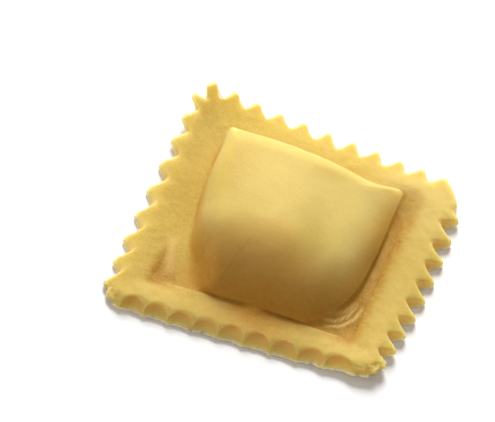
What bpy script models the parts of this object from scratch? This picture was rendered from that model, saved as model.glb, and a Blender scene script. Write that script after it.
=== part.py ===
"""One ravioli: a filled square of fresh pasta with a wheel-cut edge, lying flat.

Run with: blender --background --python part.py
Sizes below are in millimetres and the mesh is in metres, +Z up. The flat underside of the
filled part lies on Z = 0, and the origin is under the middle of the object's box. +X runs
along the longer side. Sides and corners go round counter-clockwise from the near side,
and a corner follows the side of the same number.
"""
import math
from collections import namedtuple

import bmesh
import bpy
from mathutils import Vector

MM = 0.001

# A side of the cut edge runs from its first to its last tooth tip, bowed out by "bow".
# "drift" spaces the teeth closer at its start and "bunch" closer at both ends. The cut
# leans: "top" and "foot" are the depths of its valleys at the upper and the lower edge,
# and "flare" is how far the lower tips stand out past the upper ones. "sharp" shapes the
# valleys, from round (towards 0) to a zigzag (1), a "power" below 1 makes them fuller, and
# "tip" is the share of a tooth's pitch that its blunt tip takes.
Side = namedtuple("Side", "start end bow teeth drift bunch top foot flare sharp power tip")
SIDES = (
    Side((-20.0, -24.2), (20.8, -20.9), 0.3, 9, 0.08, 0.00, 1.5, 0.3, 1.0, 0.30, 0.6, 0.04),
    Side((25.5, -18.4), (27.2, 12.9), 1.0, 8, 0.16, 0.00, 2.6, 1.8, 0.2, 0.90, 1.0, 0.16),
    Side((22.5, 19.6), (-21.7, 21.2), 0.1, 10, 0.00, 0.06, 2.5, 2.0, 0.5, 0.92, 1.0, 0.16),
    Side((-24.3, 17.8), (-24.0, -21.5), 0.3, 8, 0.00, 0.12, 2.3, 1.7, 0.4, 0.92, 1.0, 0.18),
)
TOOTH_STEPS = 6

# A corner of the cut edge joins the last tip of its side to the first tip of the next.
# "reach" is how far it bulges towards the point where the two sides would meet and "lift"
# is how far it curls up. "notch" is the depth of the valley cut into it, with its middle
# at "place" and over the share "width" of the corner.
Corner = namedtuple("Corner", "reach lift notch place width")
CORNERS = (
    Corner(0.9, 1.2, 0.6, 0.75, 0.45),
    Corner(0.3, 0.5, 0.6, 0.18, 0.36),
    Corner(0.0, 3.0, 1.7, 0.66, 0.62),
    Corner(0.6, 0.2, 0.4, 0.30, 0.45),
)
CORNER_SHARPNESS = 0.92
CORNER_TIP = 0.16
CORNER_STEPS = 8
LIFT_RADIUS = 20.0

EDGE_THICKNESS = 2.3
FLANGE_THICKNESS = 2.8
ARRIS_DROP = 0.35
RIM_RISE = 0.35

# The pressed pocket round the filling: four corners, and how far its floor lies below the
# flange along each side and in each corner, which reaches out over "POCKET_REACH".
POCKET = ((-16.8, -18.6), (18.8, -16.4), (19.6, 14.6), (-16.8, 13.8))
POCKET_RADIUS = 1.4
POCKET_SIDE_DEPTHS = (0.20, 0.60, 0.15, 0.10)
POCKET_CORNER_DEPTHS = (0.9, 0.3, 0.1, 0.7)
POCKET_REACH = 9.0

# The filled pillow stands on a smaller quadrilateral in the pocket. A wall's run is given
# at its side's start, on its way and at its end. Each corner is rounded over a share of the
# runs of its two walls, and its fullness goes from elliptic (2) to a straight cut (1).
PILLOW = ((-14.2, -18.0), (15.9, -16.3), (16.9, 14.3), (-15.6, 12.4))
WALL_RUNS = ((12.5, 12.5, 12.5), (7.0, 6.0, 6.8), (3.0, 6.0, 5.5), (3.6, 3.6, 7.8))
CORNER_SHARES = (0.95, 0.35, 0.40, 1.0)
CORNER_FULLNESS = (2.0, 2.0, 2.0, 1.35)

# A side of the pillow is drawn in by "depth" at the share "middle" of its length, and less
# towards the shares "start" and "end".
Inset = namedtuple("Inset", "depth start middle end")
INSETS = (
    Inset(0.0, 0.00, 0.50, 1.00),
    Inset(0.2, 0.10, 0.60, 0.97),
    Inset(1.5, 0.00, 0.20, 0.80),
    Inset(0.0, 0.00, 0.50, 1.00),
)

# A wall's steepness goes from a rounded slope (1) to a bluff (towards 0), and neighbouring
# walls blend, the less the larger "WALL_BLEND" is.
PILLOW_TOP = 12.3
WALL_POWER = 2.0
WALL_STEEPNESS = (0.84, 0.66, 0.54, 0.50)
WALL_BLEND = 6.0
# The top falls by a depth on its way from one place to another along +X.
FALL_FROM = 1.0
FALL_TO = 17.0
FALL_DEPTH = 3.0
# Broad dents of the dough (a swell has a negative depth): centre, depth and radius.
DENTS = (
    ((17.0, 14.3), 4.5, 6.5),
    ((18.5, 7.5), 1.7, 5.5),
    ((-15.0, 8.0), 0.6, 8.0),
    ((-2.0, 1.0), -0.4, 9.0),
)

# Rings of the mesh: up the cut from its foot (0) to its top (1), over the flange from the
# cut (0) to the crease (1), over the pocket's floor from the crease (0) to the pillow's
# foot (1), and over the pillow from its foot (1) to its middle (0).
CUT_LEVELS = (0.0, 0.5, 1.0)
FLANGE_RINGS = (0.08, 0.30, 0.62, 0.88)
FLOOR_RINGS = (0.0, 0.5, 1.0)
PILLOW_RINGS = (0.985, 0.955, 0.915, 0.86, 0.80, 0.72, 0.62, 0.50, 0.36, 0.22, 0.10)

# The teeth die away over the flange as this power of what is left of its width.
TOOTH_FADE = 3
# Halvings by which the pillow's foot is found.
OUTLINE_STEPS = 30

PASTA_COLOUR = (0.86, 0.62, 0.22, 1.0)
PASTA_ROUGHNESS = 0.55
SHARP_ANGLE = math.radians(50.0)


def lerp(a, b, t):
    return a + (b - a) * t


def smoothstep(t):
    t = min(max(t, 0.0), 1.0)
    return t * t * (3.0 - 2.0 * t)


def shares(steps):
    """The middles of equal steps from 0 to 1."""
    return [(step + 0.5) / steps for step in range(steps)]


# ---- plan ------------------------------------------------------------------------------

def side_vectors(side):
    """Start point, run to the end point and outward normal of a side."""
    start = Vector(side.start)
    run = Vector(side.end) - start
    return start, run, Vector((run.y, -run.x)).normalized()


def valley_depth(phase, sharp, tip):
    """Depth of a valley as a share of its full depth, from tip (0) to tip (1)."""
    across = min(max((phase - 0.5) / (1.0 - tip) + 0.5, 0.0), 1.0)
    return math.asin(sharp * math.sin(math.pi * across)) / math.asin(sharp)


def side_point(side, share, level, teeth):
    """Point after a share of a side's teeth; level is 0 at the cut's foot and 1 at its top."""
    start, run, outward = side_vectors(side)
    t = share - side.drift * share * (1.0 - share)
    t -= side.bunch * math.sin(2.0 * math.pi * share) / (2.0 * math.pi)
    valley = valley_depth(share * side.teeth % 1.0, side.sharp, side.tip) ** side.power
    depth = lerp(side.foot, side.top, level) * valley * teeth
    bow = side.bow * 4.0 * t * (1.0 - t)
    return start + run * t + outward * (bow + side.flare * (1.0 - level) - depth)


def meeting_point(a, along_a, b, along_b):
    """Where the line through a meets the line through b."""
    cross = along_a.x * along_b.y - along_a.y * along_b.x
    gap = b - a
    return a + along_a * ((gap.x * along_b.y - gap.y * along_b.x) / cross)


def corner_frame(index, level):
    """Start, control point and end of a corner's curve."""
    before = SIDES[index]
    after = SIDES[(index + 1) % len(SIDES)]
    first = side_point(before, 1.0, level, 0.0)
    last = side_point(after, 0.0, level, 0.0)
    meet = meeting_point(first, side_vectors(before)[1], last, side_vectors(after)[1])
    return first, lerp((first + last) / 2.0, meet, CORNERS[index].reach), last


def corner_point(index, t, level, teeth):
    """Point at t round a corner."""
    first, control, last = corner_frame(index, level)
    corner = CORNERS[index]
    inward = Vector((first.y - last.y, last.x - first.x)).normalized()
    phase = min(max((t - corner.place) / corner.width + 0.5, 0.0), 1.0)
    valley = valley_depth(phase, CORNER_SHARPNESS, CORNER_TIP)
    curve = first * (1.0 - t) ** 2 + control * 2.0 * t * (1.0 - t) + last * t ** 2
    return curve + inward * corner.notch * valley * teeth


def cut_edge(level, teeth=1.0):
    """The cut edge at one level, with its teeth scaled, as a closed list of points."""
    points = []
    for index, side in enumerate(SIDES):
        points += [side_point(side, t, level, teeth) for t in shares(side.teeth * TOOTH_STEPS)]
        points += [corner_point(index, t, level, teeth) for t in shares(CORNER_STEPS)]
    return points


def rounded_outline(corners, trims):
    """A quadrilateral with elliptic corners and one point for each of the cut edge's.

    Each corner's trims are how far its arc reaches back along the side before it and
    forward along the side after it.
    """
    corners = [Vector(corner) for corner in corners]
    sides = [(corners[(i + 1) % 4] - corners[i]).normalized() for i in range(4)]
    points = []
    for index, side in enumerate(SIDES):
        start = corners[index] + sides[index] * trims[index - 1][1]
        corner = corners[(index + 1) % 4]
        back, forward = trims[index]
        end = corner - sides[index] * back
        points += [lerp(start, end, t) for t in shares(side.teeth * TOOTH_STEPS)]
        for t in shares(CORNER_STEPS):
            point = corner - sides[index] * back * (1.0 - math.sin(math.pi / 2.0 * t))
            point += sides[(index + 1) % 4] * forward * (1.0 - math.cos(math.pi / 2.0 * t))
            points.append(point)
    return points


def pocket_outline():
    """The crease at the edge of the pressed pocket."""
    return rounded_outline(POCKET, [(POCKET_RADIUS, POCKET_RADIUS)] * 4)


def pillow_centre():
    return sum((Vector(corner) for corner in PILLOW), Vector((0.0, 0.0))) / len(PILLOW)


def wall_shares(point):
    """How far across each wall a point lies: 0 at the wall's foot and 1 at its top."""
    walls = []
    for index, (first, middle, last) in enumerate(WALL_RUNS):
        start = Vector(PILLOW[index])
        along = Vector(PILLOW[(index + 1) % 4]) - start
        t = min(max((point - start).dot(along) / along.length_squared, 0.0), 1.0)
        run = first * (1.0 - t) ** 2 + middle * 2.0 * t * (1.0 - t) + last * t ** 2
        inset = INSETS[index]
        drawn = smoothstep((t - inset.start) / (inset.middle - inset.start))
        drawn *= smoothstep((inset.end - t) / (inset.end - inset.middle))
        inward = Vector((-along.y, along.x)).normalized()
        walls.append(((point - start).dot(inward) - inset.depth * drawn) / run)
    return walls


def rise_share(walls):
    """How far across the nearest wall or rounded corner; below 0 is outside the pillow."""
    across = min(walls)
    for index, radius in enumerate(CORNER_SHARES):
        first = radius - walls[index]
        second = radius - walls[(index + 1) % 4]
        if first > 0.0 and second > 0.0:
            furthest = min(max(1.0 - min(first, second) / radius, 0.0), 1.0)
            power = lerp(CORNER_FULLNESS[index], 2.0, furthest ** 2)
            across = min(across, radius - (first ** power + second ** power) ** (1.0 / power))
    return across


def pillow_outline():
    """The foot of the pillow's walls, found outwards from the pillow's middle."""
    trims = []
    for index, share in enumerate(CORNER_SHARES):
        trims.append((share * WALL_RUNS[(index + 1) % 4][0], share * WALL_RUNS[index][2]))
    centre = pillow_centre()
    points = []
    for guide in rounded_outline(PILLOW, trims):
        low, high = 0.5, 1.5
        for _ in range(OUTLINE_STEPS):
            middle = (low + high) / 2.0
            if rise_share(wall_shares(lerp(centre, guide, middle))) > 0.0:
                low = middle
            else:
                high = middle
        points.append(lerp(centre, guide, low))
    return points


# ---- heights ---------------------------------------------------------------------------

def corner_lift(point):
    """How far the curled corners raise the cut edge at a plan point."""
    height = 0.0
    for index, corner in enumerate(CORNERS):
        away = (point - corner_frame(index, 1.0)[1]).length
        height += corner.lift * max(0.0, 1.0 - away / LIFT_RADIUS) ** 2
    return height


def raise_ring(ring, tips, pocket, thickness):
    """Heights for a flange ring that lies a thickness above the flange's underside.

    The underside is flat at the crease and rises to the line through the tooth tips.
    """
    raised = []
    for point, tip, crease in zip(ring, tips, pocket):
        strip = crease - tip
        share = (point - tip).dot(strip) / strip.length_squared
        rise = (RIM_RISE + corner_lift(point)) * (1.0 - share) ** 2
        raised.append((point, rise + thickness))
    return raised


def pillow_height(point, floor):
    """Height of the dough over a point of the pillow, which rises from the pocket's floor."""
    walls = wall_shares(point)
    across = min(max(rise_share(walls), 0.0), 1.0)
    weights = [math.exp(-WALL_BLEND * (wall - min(walls))) for wall in walls]
    steepness = sum(w * s for w, s in zip(weights, WALL_STEEPNESS)) / sum(weights)
    top = PILLOW_TOP
    top -= FALL_DEPTH * smoothstep((point.x - FALL_FROM) / (FALL_TO - FALL_FROM))
    for centre, depth, radius in DENTS:
        away = (point - Vector(centre)).length / radius
        top -= depth * math.exp(-away * away)
    return lerp(floor, top, (1.0 - (1.0 - across) ** WALL_POWER) ** steepness)


def floor_height(point, depth):
    """Height of the pocket's floor at a point, from its depth along the nearest side."""
    for index, corner_depth in enumerate(POCKET_CORNER_DEPTHS):
        away = (point - Vector(POCKET[(index + 1) % 4])).length
        depth = lerp(depth, corner_depth, 1.0 - smoothstep(away / POCKET_REACH))
    return FLANGE_THICKNESS - depth


def side_depths():
    """The pocket's depth along the sides, with one value for each ring point."""
    depths = []
    for index, side in enumerate(SIDES):
        depth = POCKET_SIDE_DEPTHS[index]
        after = POCKET_SIDE_DEPTHS[(index + 1) % 4]
        depths += [depth] * (side.teeth * TOOTH_STEPS)
        depths += [lerp(depth, after, smoothstep(t)) for t in shares(CORNER_STEPS)]
    return depths


# ---- mesh ------------------------------------------------------------------------------

def flange_rings(pocket):
    """Rings from the flat underside, up the cut edge and over the flange."""
    tips = cut_edge(1.0, 0.0)
    rings = [[(point, 0.0) for point in pocket]]
    for level in CUT_LEVELS:
        thickness = (EDGE_THICKNESS - ARRIS_DROP) * level
        rings.append(raise_ring(cut_edge(level), tips, pocket, thickness))
    for share in FLANGE_RINGS:
        edge = cut_edge(1.0, (1.0 - share) ** TOOTH_FADE)
        ring = [lerp(*ends, share) for ends in zip(edge, pocket)]
        thickness = lerp(EDGE_THICKNESS, FLANGE_THICKNESS, math.sin(math.pi / 2.0 * share))
        rings.append(raise_ring(ring, tips, pocket, thickness))
    return rings


def pillow_rings(pocket):
    """Rings from the crease over the pocket's floor and up to the pillow's middle."""
    foot = pillow_outline()
    rings = []
    for share in FLOOR_RINGS:
        points = [lerp(*ends, share) for ends in zip(pocket, foot)]
        rings.append([(point, floor_height(point, depth)) for point, depth in zip(points, side_depths())])
    floors = [height for _, height in rings[-1]]
    centre = pillow_centre()
    for share in PILLOW_RINGS:
        points = [lerp(centre, point, share) for point in foot]
        rings.append([(point, pillow_height(point, floor)) for point, floor in zip(points, floors)])
    return rings


def loft(mesh, rings):
    """Join rings of equal length by quads, from a flat face to a fan round a middle point."""
    loops = []
    for ring in rings:
        loops.append([mesh.verts.new((point.x * MM, point.y * MM, z * MM)) for point, z in ring])
    mesh.faces.new(list(reversed(loops[0])))
    for lower, upper in zip(loops, loops[1:]):
        for index in range(len(lower)):
            after = (index + 1) % len(lower)
            mesh.faces.new((lower[index], lower[after], upper[after], upper[index]))
    centre = pillow_centre()
    middle = mesh.verts.new((centre.x * MM, centre.y * MM, pillow_height(centre, 0.0) * MM))
    for index, vert in enumerate(loops[-1]):
        mesh.faces.new((vert, loops[-1][(index + 1) % len(loops[-1])], middle))


def centre_plan(mesh):
    """Move the mesh so that the middle of its box is over the origin."""
    xs = [vert.co.x for vert in mesh.verts]
    ys = [vert.co.y for vert in mesh.verts]
    middle = Vector(((min(xs) + max(xs)) / 2.0, (min(ys) + max(ys)) / 2.0, 0.0))
    bmesh.ops.translate(mesh, verts=mesh.verts, vec=-middle)


def pasta_material():
    """Fresh egg pasta: matt yellow dough."""
    material = bpy.data.materials.new("pasta")
    material.use_nodes = True
    shader = material.node_tree.nodes["Principled BSDF"]
    shader.inputs["Base Color"].default_value = PASTA_COLOUR
    shader.inputs["Roughness"].default_value = PASTA_ROUGHNESS
    shader.inputs["Metallic"].default_value = 0.0
    return material


def make_ravioli(collection):
    """The whole ravioli: flat underside, cut edge, flange and pillow in one solid."""
    mesh = bmesh.new()
    pocket = pocket_outline()
    loft(mesh, flange_rings(pocket) + pillow_rings(pocket))
    centre_plan(mesh)
    bmesh.ops.recalc_face_normals(mesh, faces=mesh.faces)
    data = bpy.data.meshes.new("ravioli")
    mesh.to_mesh(data)
    mesh.free()
    data.shade_smooth()
    data.set_sharp_from_angle(angle=SHARP_ANGLE)
    ravioli = bpy.data.objects.new("ravioli", data)
    ravioli.data.materials.append(pasta_material())
    collection.objects.link(ravioli)
    return ravioli


def main():
    for item in list(bpy.data.objects):
        bpy.data.objects.remove(item, do_unlink=True)
    collection = bpy.data.collections.new("ravioli")
    bpy.context.scene.collection.children.link(collection)
    make_ravioli(collection)


main()
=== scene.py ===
import math
from collections import namedtuple

import bpy
import numpy as np
from mathutils import Matrix, Vector, noise


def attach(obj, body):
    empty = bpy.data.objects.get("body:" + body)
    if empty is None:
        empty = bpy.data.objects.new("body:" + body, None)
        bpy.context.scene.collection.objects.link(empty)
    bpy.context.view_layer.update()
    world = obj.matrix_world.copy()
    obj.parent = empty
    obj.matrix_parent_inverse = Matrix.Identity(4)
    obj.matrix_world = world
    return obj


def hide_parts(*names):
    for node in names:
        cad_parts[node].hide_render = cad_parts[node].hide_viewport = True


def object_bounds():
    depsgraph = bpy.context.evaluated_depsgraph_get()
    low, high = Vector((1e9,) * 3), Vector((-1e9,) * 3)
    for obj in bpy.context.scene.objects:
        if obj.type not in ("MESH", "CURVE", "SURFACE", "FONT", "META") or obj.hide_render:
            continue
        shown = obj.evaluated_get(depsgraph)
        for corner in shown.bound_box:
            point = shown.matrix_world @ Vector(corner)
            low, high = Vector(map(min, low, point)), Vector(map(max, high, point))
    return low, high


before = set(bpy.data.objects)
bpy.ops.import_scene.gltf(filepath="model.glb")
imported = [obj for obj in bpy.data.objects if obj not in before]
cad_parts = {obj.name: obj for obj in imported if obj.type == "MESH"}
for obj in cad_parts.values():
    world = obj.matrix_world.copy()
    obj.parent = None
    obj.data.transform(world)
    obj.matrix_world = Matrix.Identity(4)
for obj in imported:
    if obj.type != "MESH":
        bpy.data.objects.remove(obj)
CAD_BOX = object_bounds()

MM = 0.001

# ---- plan of the outline ----------------------------------------------------------------

PLAN_CENTRE = np.array((1.4212, -1.7252))
# A side of the cut edge runs from its first to its last tooth tip, bowed out by "bow".
# "drift" spaces the teeth closer at its start and "bunch" closer at both ends. The cut
# leans: "top" and "foot" are the depths of its valleys at the upper and the lower edge, and
# "flare" is how far the lower tips stand out past the upper ones. "sharp" shapes the
# valleys, a "power" below 1 makes them fuller, and "tip" is the share of a tooth's pitch
# that its blunt tip takes. "droop" is how far the tips sink, over the width "fold".
Side = namedtuple(
    "Side", "start end bow teeth drift bunch top foot flare sharp power tip droop fold"
)
SIDES = (
    Side((-20.0, -24.2), (20.8, -20.9), 0.3, 9, 0.08, 0.0, 1.5, 0.3, 1.0, 0.3, 0.6, 0.04, 0.9, 0.8),
    Side((25.5, -18.4), (27.2, 12.9), 1.0, 8, 0.16, 0.0, 2.6, 1.8, 0.2, 0.90, 1.0, 0.16, 0.8, 1.8),
    Side((22.5, 19.6), (-21.7, 21.2), 0.1, 10, 0.0, 0.06, 2.5, 2.0, 0.5, 0.92, 1.0, 0.16, 0.4, 3.0),
    Side((-24.3, 17.8), (-24.0, -21.5), 0.3, 8, 0.0, 0.12, 2.3, 1.7, 0.4, 0.92, 1.0, 0.18, 1.1, 1.9),
)
TOOTH_STEPS = 24
TIP_SHARE = 0.16
TOOTH_UNEVENNESS = 0.10

# A corner joins the last tip of its side to the first tip of the next. "reach" is how far
# it bulges towards the point where the two sides would meet and "lift" is how far it curls
# up. "notch" is the depth of its valley, at "place" and over the share "width" of it.
Corner = namedtuple("Corner", "reach lift notch place width")
CORNERS = (
    Corner(0.9, 1.2, 0.6, 0.75, 0.45),
    Corner(0.3, 0.5, 0.6, 0.18, 0.36),
    Corner(0.0, 3.0, 1.7, 0.66, 0.62),
    Corner(0.6, 0.2, 0.4, 0.30, 0.45),
)
CORNER_SHARPNESS = 0.92
CORNER_STEPS = 32
LIFT_RADIUS = 20.0

# The arris is the upper edge of the cut, rounded by its drop over its width.
EDGE_THICKNESS = 2.3
FLANGE_THICKNESS = 2.8
ARRIS_DROP = 0.34
ARRIS_WIDTH = 0.36
RIM_RISE = 0.35
TOOTH_FADE = 3

# ---- pocket and pillow ------------------------------------------------------------------

POCKET = ((-16.8, -18.6), (18.8, -16.4), (19.6, 14.6), (-16.8, 13.8))
POCKET_RADIUS = 1.4
# Depth of the pocket's floor below the flange: in its corners and along its sides.
CREASE_DEPTHS = (0.8, 0.10, 0.1, 0.55)
CREASE_SIDE_DEPTHS = (0.10, 0.60, 0.15, 0.0)
# Over what width the crease is rounded: along the near, right, far and left side.
CREASE_WIDTHS = (1.9, 0.9, 0.9, 0.5)
# How far from a pocket's corner its own value holds.
CORNER_REACH = 9.0

PILLOW = ((-14.2, -18.0), (15.9, -16.3), (16.9, 14.3), (-15.6, 12.4))
# Each wall's run at the side's start, on its way and at its end.
WALL_RUNS = ((12.5, 12.5, 12.5), (7.0, 6.0, 6.8), (3.0, 6.0, 5.5), (3.6, 3.6, 7.8))
# How much of the runs a corner takes, and its fullness: 2 is elliptic and 1 a straight cut.
CORNER_SHARES = (0.95, 0.35, 0.40, 1.0)
CORNER_FULLNESS = (2.0, 2.0, 2.0, 1.35)
# How far the sides are drawn in between two places, deepest at a third one.
Inset = namedtuple("Inset", "depth start middle end")
INSETS = (
    Inset(0.0, 0.0, 0.5, 1.0),
    Inset(-0.5, 0.05, 0.50, 0.97),
    Inset(1.5, 0.0, 0.20, 0.80),
    Inset(1.7, 0.35, 0.85, 1.20),
)
PILLOW_TOP = 12.3
# A wall's profile: 2 is round, and a smaller steepness makes its foot steeper.
WALL_POWER = 2.0
WALL_STEEPNESS = (0.84, 0.66, 0.54, 0.50)
WALL_BLEND = 6.0
# The top falls away towards the right, from one place to another along the plan's X.
FALL_FROM = 1.0
FALL_TO = 17.0
FALL_DEPTH = 3.0
# Dents of the top: centre, depth (a swelling's is negative) and radius.
DENTS = (
    ((-15.0, 8.0), 0.6, 8.0),
    ((-2.0, 1.0), -0.4, 9.0),
    ((17.0, 14.3), 4.5, 6.5),
    ((18.5, 7.5), 1.7, 5.5),
)

# Small folds of the pressed dough: plan points, height (a groove's is negative) and width.
FOLDS = (
    (((12.6, -15.0), (14.8, -14.2), (16.6, -12.3), (17.5, -9.6)), 0.20, 0.28),
    (((13.4, -13.7), (15.7, -12.0), (16.9, -9.4)), 0.16, 0.24),
    (((13.6, -15.7), (16.2, -14.4), (17.8, -12.2), (18.3, -9.7)), 0.20, 0.28),
    (((13.1, -15.4), (15.5, -14.2), (17.2, -12.1), (17.9, -9.6)), -0.14, 0.25),
    (((-16.4, -9.8), (-15.7, -12.6), (-15.0, -15.1), (-14.6, -17.3)), 0.14, 0.85),
    (((-17.2, -11.9), (-17.0, -14.8), (-16.6, -17.6)), -0.06, 0.60),
)

# How the surface is rounded: the reach of the creases' rounding in widths, and the rounds
# and the strength of the smoothing along the pillow's rings.
CREASE_SPREAD = 2.5
HIP_ROUNDS = 12
HIP_STRENGTH = 0.5

# Torn places of the cut edge: centre, height and radius.
TATTERS = (
    ((25.0, -20.5), 0.55, 3.6),
    ((-23.5, -23.5), 0.25, 3.0),
)
TORN_ROWS = 8
# How crumbly the foot of the cut is along the near, right, far and left side.
CRUMBS = (1.0, 0.3, 0.0, 0.3)
CRUMB_ROWS = 3.0
CRUMB_DEPTH = 0.05
CUT_ROUGHNESS = 0.7

# Layers of noise: height or strength, size and seed.
DOUGH_WAVES = ((0.10, 6.0, 1), (0.05, 2.4, 2), (0.02, 0.9, 3))
FLANGE_WAVES = ((0.06, 1.3, 4),)
CRUMB_WAVES = ((0.30, 0.8, 5), (0.18, 0.4, 6))
BURR_WAVES = ((1.5, 0.6, 7),)
RECESS_WAVES = ((0.18, 1.6, 8), (0.18, 0.7, 9))
TORN_WAVES = ((1.0, 1.1, 10), (0.9, 0.5, 11))

# ---- tints ------------------------------------------------------------------------------

# Four values stand for the near, right, far and left side, or for the corners after them.
# The warm tint is painted shade, an orange brown at the pillow's foot and up its shaded near
# wall: its strength, and how far it reaches up the pillow and out from it. It is weak at
# some places: centre, change and radius.
FOOT_WARM_SHADE = (0.93, 0.65, 0.2, 0.7)
FOOT_WIDTH = (9.8, 2.6, 1.5, 1.2)
FOOT_EDGE = (4.0, 0.8, 0.8, 0.8)
FOOT_COOLNESS = ((PILLOW[2], 0.8, 5.0),)
# Painted shade towards the foot of the cut, by side, and in the folds' grooves.
CUT_WARM_SHADE = (0.50, 0.2, 0.0, 0.2)
FOLD_SHADE = 0.45
# The deeper brown of the pocket's floor is painted shade in the recess: its strength in the
# corners, along the sides, and how much it fades outwards.
RECESS_SHADE = (1.1, 0.6, 0.1, 1.15)
RECESS_SIDE_SHADE = (0.0, 1.0, 0.1, 0.0)
RECESS_STRENGTH = 1.1
RECESS_FADE = (0.1, 0.25, 0.3, 0.1)
RECESS_EDGE = 1.4
# The cream of the arris, of the burrs at the foot of the cut and of the folds' ridges is a
# painted highlight where these edges catch the light.
RIM_PALENESS = (0.08, 0.2, 0.8, 0.7)
RIM_WIDTH = 0.5
BURR_ROWS = 2.5
BURR_SHARE = 0.5
FOLD_HIGHLIGHT = 0.6
FOLD_FULL = 0.20
# The paler, less saturated top is painted sheen and light, from one height over a rise; the
# flange is paler by side, and at two places light is painted and at one shade: centre,
# change and radius.
PALE_FROM = 3.5
PALE_RISE = 6.5
FLANGE_PALENESS = (0.25, 0.20, 0.15, 0.0)
LIGHT_AND_SHADE_SPOTS = (
    ((-14.5, 6.0), -0.8, 7.0),
    ((16.0, 12.0), 0.8, 5.5),
    ((24.0, 14.0), 0.6, 7.0),
)
# The duller brown is painted shade on the flange, on the walls and at some places.
FLANGE_SHADE = (0.0, 0.22, 0.0, 0.62)
SHADE_RISE = 3.5
WALL_SHADE = (0.0, 0.0, 0.6, 0.0)
WALL_REACH = 6.0
SHADES = (
    ((-14.0, -1.5), 0.75, 6.2),
    ((6.5, -5.0), 0.50, 4.0),
    ((-3.6, -6.5), 0.25, 4.0),
    ((9.0, -20.5), 0.25, 7.0),
    ((-9.3, -18.9), 0.50, 2.4),
)
# The clear yellow of the glow is painted light on the flange, strongest on the far flange, and
# the bright orange of the cut is painted light on the shaded cut faces.
LIT_FLANGE = (0.1, 0.25, 1.0, 0.1)
CUT_LIGHT = (1.0, 0.6, 0.5, 0.6)
CUT_EDGE = 0.35

# ---- rings of the mesh ------------------------------------------------------------------

# Where the rings lie: inwards under the flange, up the cut, across the flange, across the
# pocket's floor, and up the pillow from its foot (1) to its middle (0).
UNDER_RINGS = (1.0, 0.8, 0.6, 0.4, 0.2)
CUT_LEVELS = (0.0, 0.05, 0.12, 0.22, 0.34, 0.46, 0.58, 0.70, 0.80, 0.89, 0.96, 1.0)
FLANGE_RINGS = (
    0.008, 0.018, 0.030, 0.045, 0.065, 0.09, 0.12, 0.155, 0.195, 0.24, 0.29, 0.34, 0.39, 0.44,
    0.49, 0.54, 0.59, 0.64, 0.69, 0.74, 0.79, 0.835, 0.875, 0.91, 0.94, 0.965, 0.985,
)
POCKET_RINGS = (
    0.0, 0.07, 0.14, 0.21, 0.28, 0.35, 0.42, 0.49, 0.56, 0.63, 0.70, 0.77, 0.83, 0.89, 0.95, 1.0,
)
PILLOW_RINGS = (
    0.992, 0.983, 0.973, 0.961, 0.948, 0.934, 0.918, 0.90, 0.88, 0.858, 0.834, 0.808, 0.78,
    0.75, 0.72, 0.69, 0.66, 0.63, 0.60, 0.57, 0.54, 0.51, 0.48, 0.45, 0.42, 0.38, 0.34, 0.30,
    0.26, 0.22, 0.18, 0.14, 0.10, 0.05,
)
# Further in than this, the rings take only every so many points.
COARSE_FROM = 0.5
COARSE_STRIDE = 4
# Halvings in the search for the pillow's foot.
OUTLINE_STEPS = 30


def lerp(a, b, t):
    return a + (b - a) * t


def smoothstep(t):
    t = np.clip(t, 0.0, 1.0)
    return t * t * (3.0 - 2.0 * t)


def shares(steps):
    """The middles of equal steps from 0 to 1."""
    return (np.arange(steps) + 0.5) / steps


def bell(distance, width):
    return np.exp(-(distance / width) ** 2)


def column(values):
    return np.asarray(values)[..., None]


def spots(points, places):
    """Sum of round spots at plan points: a centre, a strength and a radius for each."""
    total = np.zeros(points.shape[:-1])
    for centre, strength, radius in places:
        total += strength * bell(np.linalg.norm(points - centre, axis=-1), radius)
    return total


def side_vectors(side):
    """Start point, run to the end point and outward normal of a side."""
    start = np.array(side.start)
    run = np.array(side.end) - start
    return start, run, np.array((run[1], -run[0])) / np.linalg.norm(run)


def valley_depth(phase, sharp, tip=TIP_SHARE):
    """Depth of a valley as a share of its full depth, from tip (0) to tip (1)."""
    across = np.clip((phase - 0.5) / (1.0 - tip) + 0.5, 0.0, 1.0)
    return np.arcsin(sharp * np.sin(math.pi * across)) / math.asin(sharp)


def side_points(index, share, level, teeth):
    """Points along a side; level is 0 at the cut's foot and 1 at its top."""
    side = SIDES[index]
    start, run, outward = side_vectors(side)
    t = share - side.drift * share * (1.0 - share)
    t -= side.bunch * np.sin(2.0 * math.pi * share) / (2.0 * math.pi)
    tooth = np.clip((share * side.teeth).astype(int), 0, side.teeth - 1)
    uneven = np.random.default_rng(index).uniform(-1.0, 1.0, side.teeth)[tooth]
    valley = valley_depth(share * side.teeth % 1.0, side.sharp, side.tip) ** side.power
    depth = lerp(side.foot, side.top, level) * valley * teeth
    depth *= 1.0 + TOOTH_UNEVENNESS * uneven
    out = side.bow * 4.0 * t * (1.0 - t) + side.flare * (1.0 - level) - depth
    return start + column(t) * run + column(out) * outward


def side_end(index, share, level):
    return side_points(index, np.array((share,)), level, 0.0)[0]


def meeting_point(a, along_a, b, along_b):
    """Where the line through a meets the line through b."""
    cross = along_a[0] * along_b[1] - along_a[1] * along_b[0]
    gap = b - a
    return a + along_a * ((gap[0] * along_b[1] - gap[1] * along_b[0]) / cross)


def corner_frame(index, level):
    """Start, control point and end of a corner's curve."""
    after = (index + 1) % 4
    first = side_end(index, 1.0, level)
    last = side_end(after, 0.0, level)
    runs = side_vectors(SIDES[index])[1], side_vectors(SIDES[after])[1]
    meet = meeting_point(first, runs[0], last, runs[1])
    return first, lerp((first + last) / 2.0, meet, CORNERS[index].reach), last


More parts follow.
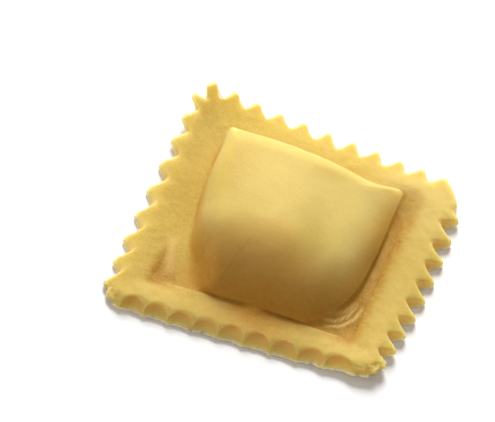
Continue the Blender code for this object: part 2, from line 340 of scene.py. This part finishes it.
def corner_points(index, t, level, teeth):
    """Points round a corner."""
    first, control, last = corner_frame(index, level)
    corner = CORNERS[index]
    inward = np.array((first[1] - last[1], last[0] - first[0]))
    inward = inward / np.linalg.norm(inward)
    phase = np.clip((t - corner.place) / corner.width + 0.5, 0.0, 1.0)
    t = column(t)
    curve = first * (1.0 - t) ** 2 + control * 2.0 * t * (1.0 - t) + last * t ** 2
    depth = corner.notch * valley_depth(phase, CORNER_SHARPNESS) * teeth
    return curve + column(depth) * inward


def cut_edge(level, teeth=1.0):
    """The cut edge at one level, with its teeth scaled, as a closed ring."""
    parts = []
    for index, side in enumerate(SIDES):
        parts.append(side_points(index, shares(side.teeth * TOOTH_STEPS), level, teeth))
        parts.append(corner_points(index, shares(CORNER_STEPS), level, teeth))
    return np.concatenate(parts)


def rounded_outline(corners, trims):
    """A quadrilateral with elliptic corners and one point for each of the cut edge's."""
    corners = np.array(corners)
    along = np.roll(corners, -1, axis=0) - corners
    along /= np.linalg.norm(along, axis=1, keepdims=True)
    parts = []
    for index, side in enumerate(SIDES):
        after = (index + 1) % 4
        back, forward = trims[index]
        start = corners[index] + along[index] * trims[index - 1][1]
        end = corners[after] - along[index] * back
        parts.append(lerp(start, end, column(shares(side.teeth * TOOTH_STEPS))))
        turn = column(math.pi / 2.0 * shares(CORNER_STEPS))
        arc = corners[after] - along[index] * back * (1.0 - np.sin(turn))
        parts.append(arc + along[after] * forward * (1.0 - np.cos(turn)))
    return np.concatenate(parts)


def wall_shares(points):
    """How far points lie across each of the four walls: 0 at the foot and 1 at the top."""
    walls = []
    for index, (first, middle, last) in enumerate(WALL_RUNS):
        start = np.array(PILLOW[index])
        along = np.array(PILLOW[(index + 1) % 4]) - start
        length = np.linalg.norm(along)
        along /= length
        t = np.clip((points - start) @ along / length, 0.0, 1.0)
        run = first * (1.0 - t) ** 2 + middle * 2.0 * t * (1.0 - t) + last * t ** 2
        inset = INSETS[index]
        drawn = smoothstep((t - inset.start) / (inset.middle - inset.start))
        drawn *= smoothstep((inset.end - t) / (inset.end - inset.middle))
        inward = (points - start) @ np.array((-along[1], along[0])) - inset.depth * drawn
        walls.append(inward / run)
    return np.array(walls)


def rise_share(walls):
    """How far points lie across the nearest wall or rounded corner; below 0 is outside."""
    across = np.min(walls, axis=0)
    for index, radius in enumerate(CORNER_SHARES):
        power = CORNER_FULLNESS[index]
        first = np.clip(radius - walls[index], 0.0, None)
        second = np.clip(radius - walls[(index + 1) % 4], 0.0, None)
        furthest = np.clip(1.0 - np.minimum(first, second) / radius, 0.0, 1.0)
        power = lerp(power, 2.0, furthest ** 2)
        rounded = radius - (first ** power + second ** power) ** (1.0 / power)
        across = np.where(first * second > 0.0, np.minimum(across, rounded), across)
    return across


def pillow_outline():
    """The pillow's foot, found outwards from its middle."""
    trims = []
    for index, share in enumerate(CORNER_SHARES):
        trims.append((share * WALL_RUNS[(index + 1) % 4][0], share * WALL_RUNS[index][2]))
    guide = rounded_outline(PILLOW, trims)
    centre = np.mean(PILLOW, axis=0)
    low = np.full(len(guide), 0.5)
    high = np.full(len(guide), 1.5)
    for _ in range(OUTLINE_STEPS):
        middle = (low + high) / 2.0
        inside = rise_share(wall_shares(lerp(centre, guide, column(middle)))) > 0.0
        low = np.where(inside, middle, low)
        high = np.where(inside, high, middle)
    return lerp(centre, guide, column(low))


def round_values(values):
    """One value for each ring point: a value per side, blended over the corners."""
    parts = []
    for index, side in enumerate(SIDES):
        parts.append(np.full(side.teeth * TOOTH_STEPS, values[index], float))
        after = values[(index + 1) % 4]
        parts.append(lerp(values[index], after, smoothstep(shares(CORNER_STEPS))))
    return np.concatenate(parts)


def around_pocket(points, side_values, corner_values):
    """Values at points round the pocket: one per side, and one per corner near it."""
    values = np.broadcast_to(round_values(side_values), points.shape[:-1])
    for index, value in enumerate(corner_values):
        away = np.linalg.norm(points - POCKET[(index + 1) % 4], axis=-1)
        values = lerp(values, value, 1.0 - smoothstep(away / CORNER_REACH))
    return values


# ---- heights ----------------------------------------------------------------------------

def corner_lift(points):
    """How far the curled corners raise the cut edge."""
    height = np.zeros(len(points))
    for index, corner in enumerate(CORNERS):
        away = np.linalg.norm(points - corner_frame(index, 1.0)[1], axis=1)
        height += corner.lift * np.clip(1.0 - away / LIFT_RADIUS, 0.0, None) ** 2
    return height


def inward_share(points, tips, pocket):
    """How far points lie from the tooth tips (0) to the crease (1)."""
    strip = pocket - tips
    return np.sum((points - tips) * strip, axis=1) / np.sum(strip * strip, axis=1)


def flange_rise(points, tips, pocket):
    """Height of the flange's underside: flat at the crease, rising to the tooth tips."""
    share = inward_share(points, tips, pocket)
    return (RIM_RISE + corner_lift(points)) * (1.0 - share) ** 2


def tip_droop(points, tips, pocket):
    """How far the flange's top sinks towards the tooth tips."""
    inward = inward_share(points, tips, pocket) * np.linalg.norm(pocket - tips, axis=1)
    droop = round_values([side.droop for side in SIDES])
    fold = round_values([side.fold for side in SIDES])
    return droop * bell(inward, fold)


def pillow_height(points, floor):
    """Height of the dough over the pillow, which rises from the pocket's floor."""
    walls = wall_shares(points)
    across = np.clip(rise_share(walls), 0.0, 1.0)
    near = np.exp(-WALL_BLEND * (walls - np.min(walls, axis=0)))
    steepness = np.sum(near * column(WALL_STEEPNESS), axis=0) / np.sum(near, axis=0)
    fall = smoothstep((points[:, 0] - FALL_FROM) / (FALL_TO - FALL_FROM))
    top = PILLOW_TOP - FALL_DEPTH * fall
    top -= spots(points, DENTS)
    return lerp(floor, top, (1.0 - (1.0 - across) ** WALL_POWER) ** steepness)


# ---- the grid of points -----------------------------------------------------------------

def make_grid():
    """All rings from the underside's edge to the pillow's middle, and the ring indices."""
    tips = cut_edge(1.0, 0.0)
    pocket = rounded_outline(POCKET, [(POCKET_RADIUS, POCKET_RADIUS)] * 4)
    foot = pillow_outline()
    centre = np.mean(PILLOW, axis=0)
    rings = []
    marks = {}

    def add(points, height):
        rings.append(np.column_stack((points, np.broadcast_to(height, len(points)))))

    bottom = cut_edge(0.0)
    for share in UNDER_RINGS:
        points = lerp(bottom, pocket, share)
        add(points, flange_rise(points, tips, pocket) if share < 1.0 else 0.0)
    marks["foot of cut"] = len(rings)
    edge = cut_edge(1.0)
    top = EDGE_THICKNESS - ARRIS_DROP - tip_droop(edge, tips, pocket)
    for level in CUT_LEVELS:
        points = cut_edge(level)
        add(points, flange_rise(points, tips, pocket) + top * level)
    marks["arris"] = len(rings) - 1
    for share in FLANGE_RINGS:
        points = lerp(cut_edge(1.0, (1.0 - share) ** TOOTH_FADE), pocket, share)
        away = np.linalg.norm(points - edge, axis=1)
        thickness = lerp(EDGE_THICKNESS, FLANGE_THICKNESS, math.sin(math.pi / 2.0 * share))
        thickness = thickness - ARRIS_DROP * bell(away, ARRIS_WIDTH)
        thickness = thickness - tip_droop(points, tips, pocket)
        add(points, flange_rise(points, tips, pocket) + thickness)
    marks["crease"] = len(rings)
    for share in POCKET_RINGS:
        points = lerp(pocket, foot, share)
        floor = FLANGE_THICKNESS - around_pocket(points, CREASE_SIDE_DEPTHS, CREASE_DEPTHS)
        add(points, floor)
    marks["pillow foot"] = len(rings) - 1
    for share in PILLOW_RINGS:
        points = lerp(centre, foot, share)
        add(points, pillow_height(points, floor))
    return np.array(rings), marks


def soften(grid, marks):
    """Round the crease over a width that differs from side to side, and the pillow's hips."""
    width = round_values(CREASE_WIDTHS)
    first = marks["arris"] + 1
    z = grid[first:, :, 2]
    steps = np.linalg.norm(np.diff(grid[first:, :, :2], axis=0), axis=2)
    along = np.vstack((np.zeros(steps.shape[1]), np.cumsum(steps, axis=0)))
    pitch = np.gradient(along, axis=0)
    smooth = np.empty_like(z)
    for row, place in enumerate(along):
        weight = pitch * bell(along - place, width)
        smooth[row] = (weight * z).sum(axis=0) / weight.sum(axis=0)
    from_crease = np.abs(along - along[marks["crease"] - first])
    from_foot = np.abs(along - along[marks["pillow foot"] - first])
    z += bell(np.minimum(from_crease, from_foot), CREASE_SPREAD * width) * (smooth - z)
    hips = grid[marks["pillow foot"] + 2:, :, 2]
    for _ in range(HIP_ROUNDS):
        around = (np.roll(hips, 1, axis=1) + np.roll(hips, -1, axis=1)) / 2.0
        hips += HIP_STRENGTH * (around - hips)


def fold_height(points):
    """Height of the small folds over plan points."""
    height = np.zeros(points.shape[:-1])
    for path, rise, width in FOLDS:
        path = np.array(path)
        total = len(path) - 1
        best = np.full(height.shape, 1e9)
        along = np.zeros(height.shape)
        for leg in range(total):
            run = path[leg + 1] - path[leg]
            t = np.clip((points - path[leg]) @ run / (run @ run), 0.0, 1.0)
            away = np.linalg.norm(points - path[leg] - column(t) * run, axis=-1)
            along = np.where(away < best, (leg + t) / total, along)
            best = np.minimum(best, away)
        taper = np.clip(4.0 * along * (1.0 - along), 0.0, 1.0) ** 0.5
        height += rise * taper * bell(best, width)
    return height


def grid_normals(grid):
    """Outward normals of the grid's points."""
    across = np.gradient(grid, axis=0)
    along = (np.roll(grid, -1, axis=1) - np.roll(grid, 1, axis=1)) / 2.0
    normals = np.cross(along, across)
    return normals / np.maximum(np.linalg.norm(normals, axis=2, keepdims=True), 1e-9)


def noise_field(grid, size, seed):
    """Smooth noise from -1 to 1 over the grid, at a size in millimetres."""
    offset = Vector((seed * 17.3, seed * -9.1, seed * 5.7))
    flat = grid.reshape(-1, 3) / size
    values = [noise.noise(Vector(point) + offset) for point in flat]
    return np.array(values).reshape(grid.shape[:2])


def waves(grid, layers):
    """Layers of noise added up: a height, a size and a seed for each."""
    return sum(height * noise_field(grid, size, seed) for height, size, seed in layers)


def roughen(grid, marks):
    """Uneven dough: slow waves, small folds, torn corners and a crumbly foot of the cut."""
    foot_of_cut = marks["foot of cut"]
    arris = marks["arris"]
    crease = marks["crease"]
    normals = grid_normals(grid)
    grid[arris:, :, 2] += fold_height(grid[arris:, :, :2])
    bump = waves(grid, DOUGH_WAVES)
    bump[:crease] += waves(grid[:crease], FLANGE_WAVES)
    crumbs = waves(grid[:arris], CRUMB_WAVES)
    crumbs *= bell(column(np.arange(arris)) - foot_of_cut - 1, CRUMB_ROWS) * round_values(CRUMBS)
    bump[:arris] += np.clip(crumbs, -CRUMB_DEPTH, None)
    torn = slice(foot_of_cut - 1, arris + TORN_ROWS)
    bump[torn] += waves(grid[torn], TORN_WAVES) * spots(grid[torn, :, :2], TATTERS)
    strength = np.zeros(len(grid))
    strength[arris:] = 1.0
    strength[foot_of_cut - 1:arris] = CUT_ROUGHNESS
    grid += normals * column(bump * column(strength))


def distance_from(grid, ring):
    """Plan distance of each point from the point of a ring in the same column."""
    return np.linalg.norm(grid[:, :, :2] - grid[ring, :, :2], axis=2)


def make_tints(grid, marks):
    """The strength of each tint of painted light and shade at each point, from 0 to 1."""
    foot_of_cut = marks["foot of cut"]
    arris = marks["arris"]
    crease = marks["crease"]
    foot = marks["pillow foot"]
    plan = grid[:, :, :2]
    row = column(np.arange(len(grid)))
    on_flange = (row >= foot_of_cut) & (row < crease)
    on_floor = (row >= crease) & (row <= foot)
    on_pillow = row >= foot
    from_edge = distance_from(grid, arris)
    from_foot = distance_from(grid, foot)
    folds = np.where(row > arris, fold_height(plan) / FOLD_FULL, 0.0)

    # Painted shade: orange brown at the pillow's foot and up its shaded near wall, less at some
    # places, in the folds' grooves and down the cut.
    reach = np.where(on_pillow, round_values(FOOT_WIDTH), round_values(FOOT_EDGE))
    warm = round_values(FOOT_WARM_SHADE) * bell(from_foot, reach)
    warm *= 1.0 - spots(plan, FOOT_COOLNESS)
    warm = np.maximum(warm, FOLD_SHADE * np.clip(-folds, 0.0, 1.0))
    depth = (arris - row) / (arris - foot_of_cut)
    depth = np.where((depth > 0.0) & (depth <= 1.0), depth, 0.0)
    warm = np.maximum(warm, depth * round_values(CUT_WARM_SHADE))

    # Painted shade in the recess: the pocket's floor and a strip beside the crease.
    outward = np.where(on_floor, (foot - row) / (foot - crease), 1.0)
    pocket_shade = np.where(on_floor, 1.0, bell(distance_from(grid, crease), RECESS_EDGE))
    pocket_shade *= RECESS_STRENGTH - outward * round_values(RECESS_FADE)
    pocket_shade *= around_pocket(plan, RECESS_SIDE_SHADE, RECESS_SHADE)
    pocket_shade *= 1.0 + waves(grid, RECESS_WAVES)

    # Painted highlight: cream along the arris, on the burrs and along the folds' ridges.
    rim_highlight = np.where(on_flange, bell(from_edge, RIM_WIDTH), 0.0) * round_values(RIM_PALENESS)
    burrs = bell(row - foot_of_cut - 1, BURR_ROWS) * round_values(CRUMBS)
    burrs = burrs * smoothstep(BURR_SHARE + waves(grid, BURR_WAVES))
    rim_highlight = np.maximum(np.maximum(rim_highlight, burrs), FOLD_HIGHLIGHT * np.clip(folds, 0.0, 1.0))

    # Painted sheen and light: paler with height on the pillow, by side on the flange, lighter at two
    # places and darker at one.
    sheen_and_light = np.where(on_pillow, smoothstep((grid[:, :, 2] - PALE_FROM) / PALE_RISE), 0.0)
    sheen_and_light += spots(plan, LIGHT_AND_SHADE_SPOTS)
    sheen_and_light += np.where(row < crease, round_values(FLANGE_PALENESS), 0.0)

    # Painted shade: on the flange inwards from the edge, on the pillow's far wall and at some
    # places.
    shade = np.where(on_pillow, 0.0, smoothstep(from_edge / SHADE_RISE))
    shade = shade * round_values(FLANGE_SHADE)
    shade += np.where(on_pillow, bell(from_foot, WALL_REACH), 0.0) * round_values(WALL_SHADE)
    shade += spots(plan, SHADES)

    # Painted light on the shaded cut faces, reaching a little onto the flange.
    cut = np.where(row >= arris, bell(from_edge, CUT_EDGE), np.where(row >= foot_of_cut, 1.0, 0.0))
    tints = {
        "warm": warm,
        "pocket_shade": pocket_shade,
        "sheen_and_light": sheen_and_light,
        "rim_highlight": rim_highlight,
        # Painted light: a clear yellow over the flange.
        "glow": np.where(on_flange, 1.0, 0.0) * round_values(LIT_FLANGE),
        "cut": cut * round_values(CUT_LIGHT),
        "shade": shade,
    }
    return {name: np.clip(values, 0.0, 1.0) for name, values in tints.items()}


def make_faces(rows, columns, coarse):
    """Quads between rings, with a coarser pitch beyond one ring, and a fan at each end."""
    faces = []
    after = (np.arange(columns) + 1) % columns
    for row in range(coarse):
        lower, upper = row * columns, (row + 1) * columns
        for i in range(columns):
            faces.append((lower + i, lower + after[i], upper + after[i], upper + i))
    step = COARSE_STRIDE
    half = step // 2
    for row in range(coarse, rows - 1):
        lower, upper = row * columns, (row + 1) * columns
        for i in range(0, columns, step):
            j = (i + step) % columns
            if row > coarse:
                faces.append((lower + i, lower + j, upper + j, upper + i))
                continue
            fine = [lower + (i + k) % columns for k in range(step + 1)]
            faces += [(fine[k], fine[k + 1], upper + i) for k in range(half)]
            faces.append((fine[half], upper + j, upper + i))
            faces += [(fine[k], fine[k + 1], upper + j) for k in range(half, step)]
    last = (rows - 1) * columns
    middle = rows * columns
    for i in range(0, columns, step):
        faces.append((last + i, last + (i + step) % columns, middle))
    faces.append(tuple(range(columns - 1, -1, -1)))
    return faces


def make_ravioli():
    """The whole ravioli as one closed mesh with a point attribute for each tint."""
    grid, marks = make_grid()
    soften(grid, marks)
    roughen(grid, marks)
    tints = make_tints(grid, marks)
    grid[:, :, :2] -= PLAN_CENTRE
    grid[0, :, 2] = 0.0
    low, high = (np.array(corner) / MM for corner in CAD_BOX)
    grid = np.clip(grid, low, high)
    rows, columns = grid.shape[:2]
    coarse = marks["pillow foot"] + 1 + sum(1 for share in PILLOW_RINGS if share > COARSE_FROM)
    points = np.vstack((grid.reshape(-1, 3), grid[-1].mean(axis=0)))
    faces = make_faces(rows, columns, coarse)
    used = np.zeros(len(points), bool)
    used[np.concatenate([np.array(face) for face in faces])] = True
    index = np.cumsum(used) - 1
    mesh = bpy.data.meshes.new("ravioli_dough")
    mesh.from_pydata((points[used] * MM).tolist(), [], [index[list(f)].tolist() for f in faces])
    mesh.update()
    for name, values in tints.items():
        values = np.append(values.reshape(-1), values[-1].mean())
        layer = mesh.attributes.new(name, "FLOAT", "POINT")
        layer.data.foreach_set("value", values[used].astype(np.float32))
    mesh.shade_smooth()
    piece = bpy.data.objects.new("ravioli_dough", mesh)
    bpy.context.scene.collection.objects.link(piece)
    return piece


# ---- materials --------------------------------------------------------------------------

FLANGE_COLOUR = (0.66, 0.490, 0.122)
# Painted sheen: the paler, less saturated top of the pillow.
TOP_SHEEN_COLOUR = (0.765, 0.607, 0.205)
# Painted shade at the pillow's foot and on its shaded near wall.
WARM_SHADE_COLOUR = (0.59, 0.238, 0.004)
# Painted shade in the pocket's recess.
POCKET_SHADE_COLOUR = (0.405, 0.193, 0.004)
# Painted highlight on the arris, the burrs and the folds' ridges.
RIM_HIGHLIGHT_COLOUR = (0.97, 0.72, 0.34)
# Painted light on the shaded cut faces.
LIT_CUT_COLOUR = (1.0, 0.65, 0.19)
# Painted shade.
SHADE_COLOUR = (0.50, 0.34, 0.045)
# Painted light on the flange.
LIT_FLANGE_COLOUR = (0.62, 0.445, 0.070)
MOTTLE_COLOUR = (0.62, 0.38, 0.06)
GRAIN_COLOUR = (1.0, 0.84, 0.42)
STREAK_COLOUR = (0.98, 0.82, 0.40)
# Noise per metre, and its stretch in the streaks of the rolled dough.
MOTTLE_SCALE = 260.0
GRAIN_SCALE = 2600.0
STREAK_SCALE = 1200.0
STREAK_STRETCH = (0.5, 1.4, 1.0)
GRAIN_HEIGHT = 0.65
STREAK_HEIGHT = 0.35
BUMP_STRENGTH = 0.25
BUMP_DISTANCE = 0.00006
TABLE_COLOUR = (0.90, 0.92, 0.96, 1.0)
TABLE_GLOW = (0.96, 0.97, 1.0, 1.0)
TABLE_GLOW_STRENGTH = 0.09


class Nodes:
    """Small helper that adds shader nodes and joins them up."""

    def __init__(self, material):
        material.use_nodes = True
        self.tree = material.node_tree
        self.shader = self.tree.nodes["Principled BSDF"]

    def add(self, kind, settings=None, **inputs):
        node = self.tree.nodes.new(kind)
        for name, value in (settings or {}).items():
            setattr(node, name, value)
        for name, value in inputs.items():
            self.put(node.inputs[name.replace("_", " ")], value)
        return node

    def put(self, socket, value):
        if isinstance(value, bpy.types.NodeSocket):
            self.tree.links.new(value, socket)
        else:
            socket.default_value = value

    def noise(self, scale, detail=3.0, stretch=(1.0, 1.0, 1.0)):
        place = self.add("ShaderNodeTexCoord").outputs["Object"]
        mapped = self.add("ShaderNodeMapping", Vector=place, Scale=stretch).outputs["Vector"]
        node = self.add("ShaderNodeTexNoise", Vector=mapped, Scale=scale, Detail=detail)
        return node.outputs["Fac"]

    def ramp(self, value, low, high, to_low=0.0, to_high=1.0):
        node = self.add("ShaderNodeMapRange", Value=value, From_Min=low, From_Max=high)
        node.inputs["To Min"].default_value = to_low
        node.inputs["To Max"].default_value = to_high
        return node.outputs["Result"]

    def vary(self, noise, low, high):
        """Bring noise from 0 to 1 into a range."""
        return self.ramp(noise, 0.0, 1.0, low, high)

    def math(self, operation, a, b):
        node = self.add("ShaderNodeMath", {"operation": operation})
        self.put(node.inputs[0], a)
        self.put(node.inputs[1], b)
        return node.outputs["Value"]

    def mix(self, factor, a, b):
        node = self.add("ShaderNodeMix", {"data_type": "RGBA", "blend_type": "MIX"})
        self.put(node.inputs[0], factor)
        for socket, value in ((node.inputs[6], a), (node.inputs[7], b)):
            self.put(socket, (*value, 1.0) if isinstance(value, tuple) else value)
        return node.outputs[2]

    def tint(self, name):
        return self.add("ShaderNodeAttribute", {"attribute_name": name}).outputs["Fac"]


def pasta_material():
    """Fresh egg pasta: matt, slightly translucent, paler on the pillow by painted sheen, warm in
    creases by painted shade.
    """
    material = bpy.data.materials.new("fresh_pasta")
    nodes = Nodes(material)
    mottle = nodes.ramp(nodes.noise(MOTTLE_SCALE, 4.0), 0.30, 0.70)
    grain = nodes.ramp(nodes.noise(GRAIN_SCALE), 0.35, 0.65)
    streak = nodes.ramp(nodes.noise(STREAK_SCALE, stretch=STREAK_STRETCH), 0.30, 0.70)
    # Painted shade, varied by the mottle.
    warm = nodes.math("MULTIPLY", nodes.tint("warm"), nodes.vary(mottle, 0.8, 1.0))
    # Painted highlight, varied by the mottle.
    rim_highlight = nodes.math("MULTIPLY", nodes.tint("rim_highlight"), nodes.vary(mottle, 0.5, 1.0))
    # Less grain where sheen and shade are painted.
    painted_tones = nodes.math("MAXIMUM", nodes.tint("sheen_and_light"), nodes.tint("warm"))
    grain_share = nodes.math("MULTIPLY", grain, nodes.vary(painted_tones, 0.12, 0.06))
    colour = FLANGE_COLOUR
    # The first seven mixes paint light and shade into the colour; the mottle, grain and streaks are
    # the dough's own.
    for share, tint in (
        (nodes.tint("glow"), LIT_FLANGE_COLOUR),
        (nodes.tint("sheen_and_light"), TOP_SHEEN_COLOUR),
        (nodes.tint("shade"), SHADE_COLOUR),
        (nodes.tint("cut"), LIT_CUT_COLOUR),
        (warm, WARM_SHADE_COLOUR),
        (nodes.tint("pocket_shade"), POCKET_SHADE_COLOUR),
        (rim_highlight, RIM_HIGHLIGHT_COLOUR),
        (nodes.vary(mottle, 0.0, 0.10), MOTTLE_COLOUR),
        (grain_share, GRAIN_COLOUR),
        (nodes.vary(streak, 0.0, 0.06), STREAK_COLOUR),
    ):
        colour = nodes.mix(share, colour, tint)
    shader = nodes.shader
    nodes.put(shader.inputs["Base Color"], colour)
    nodes.put(shader.inputs["Roughness"], nodes.vary(grain, 0.50, 0.64))
    grains = nodes.math("MULTIPLY", grain, GRAIN_HEIGHT)
    height = nodes.math("ADD", grains, nodes.math("MULTIPLY", streak, STREAK_HEIGHT))
    bump = nodes.add("ShaderNodeBump", Height=height, Strength=BUMP_STRENGTH)
    bump.inputs["Distance"].default_value = BUMP_DISTANCE
    nodes.put(shader.inputs["Normal"], bump.outputs["Normal"])
    shader.inputs["Subsurface Weight"].default_value = 1.0
    shader.inputs["Subsurface Radius"].default_value = (0.68, 0.72, 0.55)
    shader.inputs["Subsurface Scale"].default_value = 0.0040
    shader.inputs["Specular IOR Level"].default_value = 0.12
    return material


def table_material():
    """A plain white surface with a faint glow of its own."""
    material = bpy.data.materials.new("white_table")
    material.use_nodes = True
    shader = material.node_tree.nodes["Principled BSDF"]
    shader.inputs["Base Color"].default_value = TABLE_COLOUR
    shader.inputs["Roughness"].default_value = 0.9
    shader.inputs["Emission Color"].default_value = TABLE_GLOW
    shader.inputs["Emission Strength"].default_value = TABLE_GLOW_STRENGTH
    return material


# ---- camera, stage and light ------------------------------------------------------------

CAMERA_AZIMUTH = math.radians(20.05)
CAMERA_ELEVATION = math.radians(60.0)
CAMERA_ROLL = math.radians(2.56)
CAMERA_DISTANCE = 0.420
CAMERA_TARGET = Vector((-0.00867, 0.00303, 0.0))
CAMERA_SENSOR = 36.0
CAMERA_LENS = 176.2
CAMERA_NEAR = 0.01
CAMERA_FAR = 20.0

TABLE_HALF = 1.5
TABLE_DROP = 0.0001
# Name, place, size, power and colour of the soft lights, aimed at the origin.
LIGHTS = (
    ("back_light", (-0.15, 0.56, 0.56), 0.42, 8.4, (1.0, 0.98, 0.94)),
    ("top_light", (0.05, 0.05, 0.90), 0.60, 0.7, (1.0, 0.97, 0.92)),
    ("left_light", (-0.65, -0.16, 0.28), 0.40, 1.0, (1.0, 0.95, 0.86)),
)
STUDIO_COLOUR = (1.0, 0.92, 0.80, 1.0)
STUDIO_STRENGTH = 0.17


def make_camera():
    """The camera, turned round the target and rolled about its own axis."""
    back = Vector((
        math.sin(CAMERA_AZIMUTH) * math.cos(CAMERA_ELEVATION),
        -math.cos(CAMERA_AZIMUTH) * math.cos(CAMERA_ELEVATION),
        math.sin(CAMERA_ELEVATION),
    ))
    level = Vector((0.0, 0.0, 1.0)).cross(back).normalized()
    rise = back.cross(level)
    right = level * math.cos(CAMERA_ROLL) + rise * math.sin(CAMERA_ROLL)
    up = rise * math.cos(CAMERA_ROLL) - level * math.sin(CAMERA_ROLL)
    place = CAMERA_TARGET + back * CAMERA_DISTANCE
    data = bpy.data.cameras.new("camera")
    data.sensor_width = CAMERA_SENSOR
    data.lens = CAMERA_LENS
    data.clip_start = CAMERA_NEAR
    data.clip_end = CAMERA_FAR
    camera = bpy.data.objects.new("camera", data)
    bpy.context.scene.collection.objects.link(camera)
    camera.matrix_world = Matrix((
        (right.x, up.x, back.x, place.x),
        (right.y, up.y, back.y, place.y),
        (right.z, up.z, back.z, place.z),
        (0.0, 0.0, 0.0, 1.0),
    ))
    bpy.context.scene.camera = camera


def make_table():
    """A wide flat surface just under the ravioli."""
    mesh = bpy.data.meshes.new("table")
    low, high = -TABLE_HALF, TABLE_HALF
    corners = [(low, low, 0.0), (high, low, 0.0), (high, high, 0.0), (low, high, 0.0)]
    mesh.from_pydata(corners, [], [(0, 1, 2, 3)])
    mesh.materials.append(table_material())
    table = bpy.data.objects.new("table", mesh)
    bpy.context.scene.collection.objects.link(table)
    table.location.z = -TABLE_DROP


def soft_box(name, place, size, power, colour):
    """A round area light."""
    data = bpy.data.lights.new(name, "AREA")
    data.shape = "DISK"
    data.size = size
    data.energy = power
    data.color = colour
    light = bpy.data.objects.new(name, data)
    bpy.context.scene.collection.objects.link(light)
    light.location = place
    light.rotation_euler = (-Vector(place)).to_track_quat("-Z", "Y").to_euler()


def make_light():
    """Three soft lights and a faint warm surrounding."""
    for light in LIGHTS:
        soft_box(*light)
    world = bpy.data.worlds.new("studio")
    world.use_nodes = True
    shader = world.node_tree.nodes["Background"]
    shader.inputs["Color"].default_value = STUDIO_COLOUR
    shader.inputs["Strength"].default_value = STUDIO_STRENGTH
    bpy.context.scene.world = world
    bpy.context.scene.view_settings.view_transform = "Standard"


make_camera()
make_table()
make_light()
dough = make_ravioli()
dough.data.materials.append(pasta_material())
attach(dough, "root")
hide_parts("ravioli")
